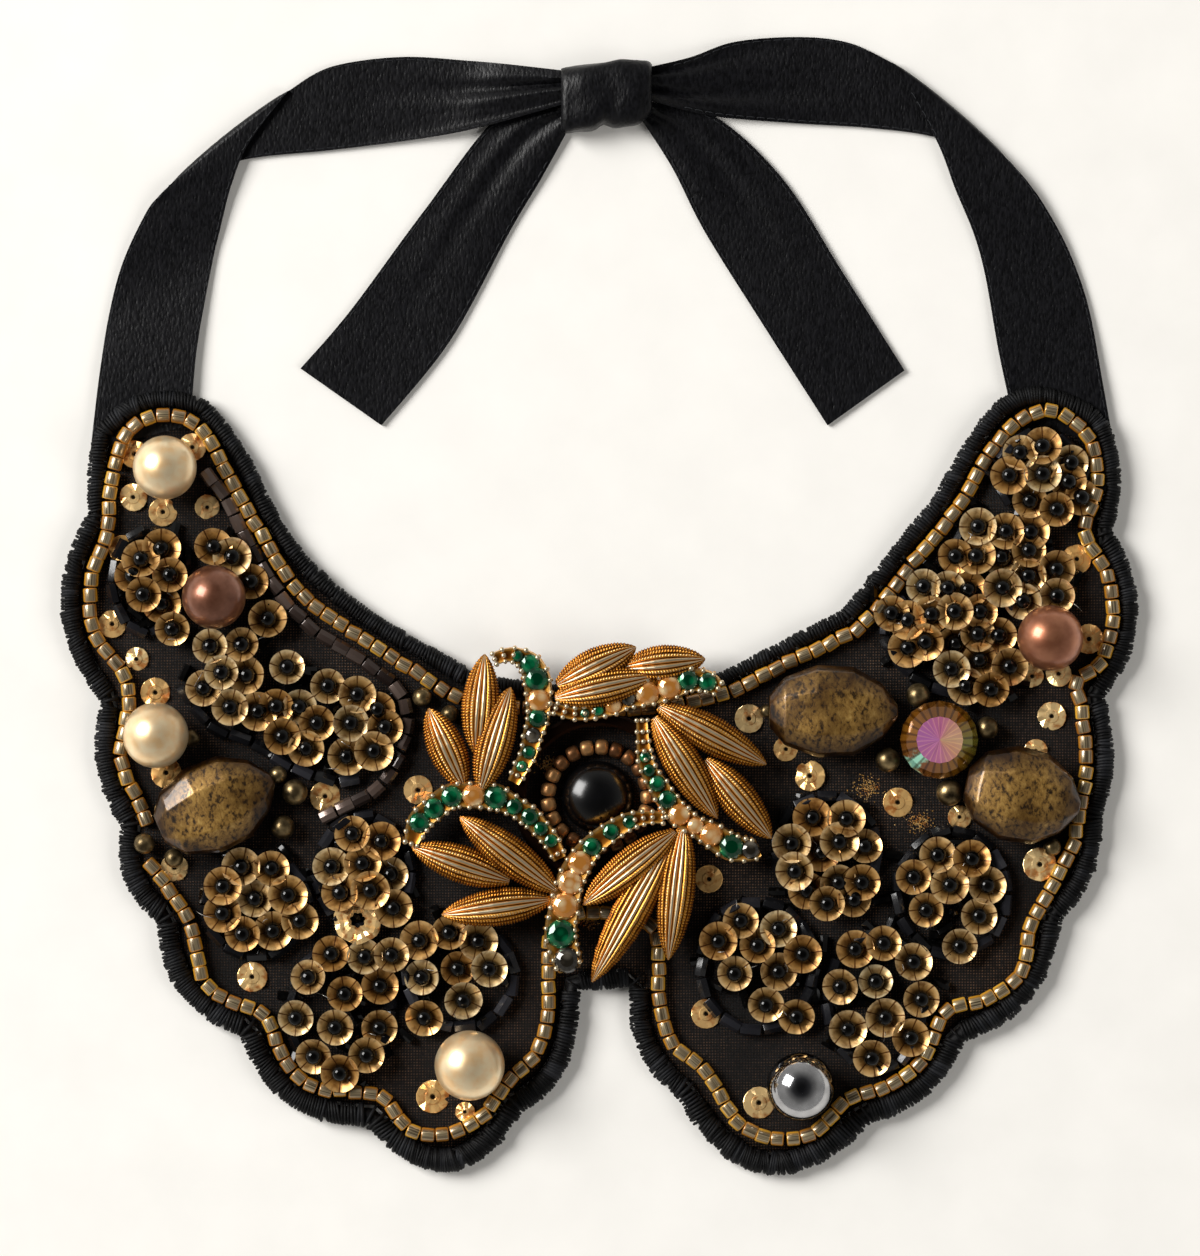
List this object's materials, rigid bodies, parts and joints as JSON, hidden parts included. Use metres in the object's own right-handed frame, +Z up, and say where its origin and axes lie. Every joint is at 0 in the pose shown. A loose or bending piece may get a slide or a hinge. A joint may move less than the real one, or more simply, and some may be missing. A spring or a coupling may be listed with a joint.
{
  "type": "bib necklace",
  "caption": "Beaded collar bib with scalloped whipped edges, a leaf brooch at the centre, pearls and faceted stones, closed by a ribbon tied in a knot with two tails.",
  "frame": {"origin": "under the middle of the whole necklace, on the surface that it lies on", "axes": "+X to the wearer's left as laid out, +Y from the bib up to the ribbon's knot, +Z up from the surface"},
  "size_m": [0.2256, 0.239, 0.0174],
  "materials": {
    "bead_cloth": "dark brown mesh over felt, leather behind",
    "black_thread": "black thread whipped round the rim",
    "gold_lined_glass": "amber cylinder beads with a metal lining",
    "brown_glass": "dark brown glossy tube beads",
    "black_glass": "black glossy tube beads",
    "gold_sequin": "gold cup sequins with black beads in them",
    "cream_pearl": "cream pearl coating",
    "brown_pearl": "brown pearl coating",
    "mirror_bead": "polished steel",
    "antique_gold": "dark antique gold",
    "bronze_nugget": "mottled bronze-coloured faceted stone",
    "coated_crystal": "faceted crystal with a rainbow coating",
    "black_stone": "polished black onyx",
    "bronze_bead": "satin bronze seed beads",
    "gilt_metal": "antiqued gilt cast metal set with green and champagne stones",
    "black_ribbon": "black grained ribbon with a soft sheen"
  },
  "bodies": {
    "root": {"bib_backing": "bead_cloth", "whipped_edge": "black_thread", "gold_bead_border": "gold_lined_glass", "dark_bugle_row": "brown_glass", "black_bugle_row": "black_glass", "bugle_ring_01": "black_glass", "bugle_ring_02": "black_glass", "bugle_ring_03": "black_glass", "bugle_ring_04": "black_glass", "bugle_ring_05": "black_glass", "bugle_ring_06": "black_glass", "bugle_ring_07": "black_glass", "bugle_ring_08": "black_glass", "bugle_ring_09": "black_glass", "bugle_ring_10": "black_glass", "bugle_ring_11": "black_glass", "bugle_ring_12": "black_glass", "cup_cluster_01": "gold_sequin", "cup_cluster_02": "gold_sequin", "cup_cluster_03": "gold_sequin", "cup_cluster_04": "gold_sequin", "cup_cluster_05": "gold_sequin", "cup_cluster_06": "gold_sequin", "cup_cluster_07": "gold_sequin", "cup_cluster_08": "gold_sequin", "cup_cluster_09": "gold_sequin", "cup_cluster_10": "gold_sequin", "cup_cluster_11": "gold_sequin", "cup_cluster_12": "gold_sequin", "cup_cluster_13": "gold_sequin", "cream_pearl_1": "cream_pearl", "cream_pearl_2": "cream_pearl", "cream_pearl_3": "cream_pearl", "brown_pearl_1": "brown_pearl", "brown_pearl_2": "brown_pearl", "steel_pearl": "mirror_bead", "antique_bead_01": "antique_gold", "antique_bead_02": "antique_gold", "antique_bead_03": "antique_gold", "antique_bead_04": "antique_gold", "antique_bead_05": "antique_gold", "antique_bead_06": "antique_gold", "antique_bead_07": "antique_gold", "antique_bead_08": "antique_gold", "antique_bead_09": "antique_gold", "antique_bead_10": "antique_gold", "antique_bead_11": "antique_gold", "nugget_1": "bronze_nugget", "nugget_2": "bronze_nugget", "nugget_3": "bronze_nugget", "rivoli_crystal": "coated_crystal", "onyx_cabochon": "black_stone", "bronze_bead_ring": "bronze_bead", "brooch": "gilt_metal", "ribbon_left": "black_ribbon", "ribbon_right": "black_ribbon", "tail_left": "black_ribbon", "tail_right": "black_ribbon", "ribbon_knot": "black_ribbon"}
  },
  "joints": []
}
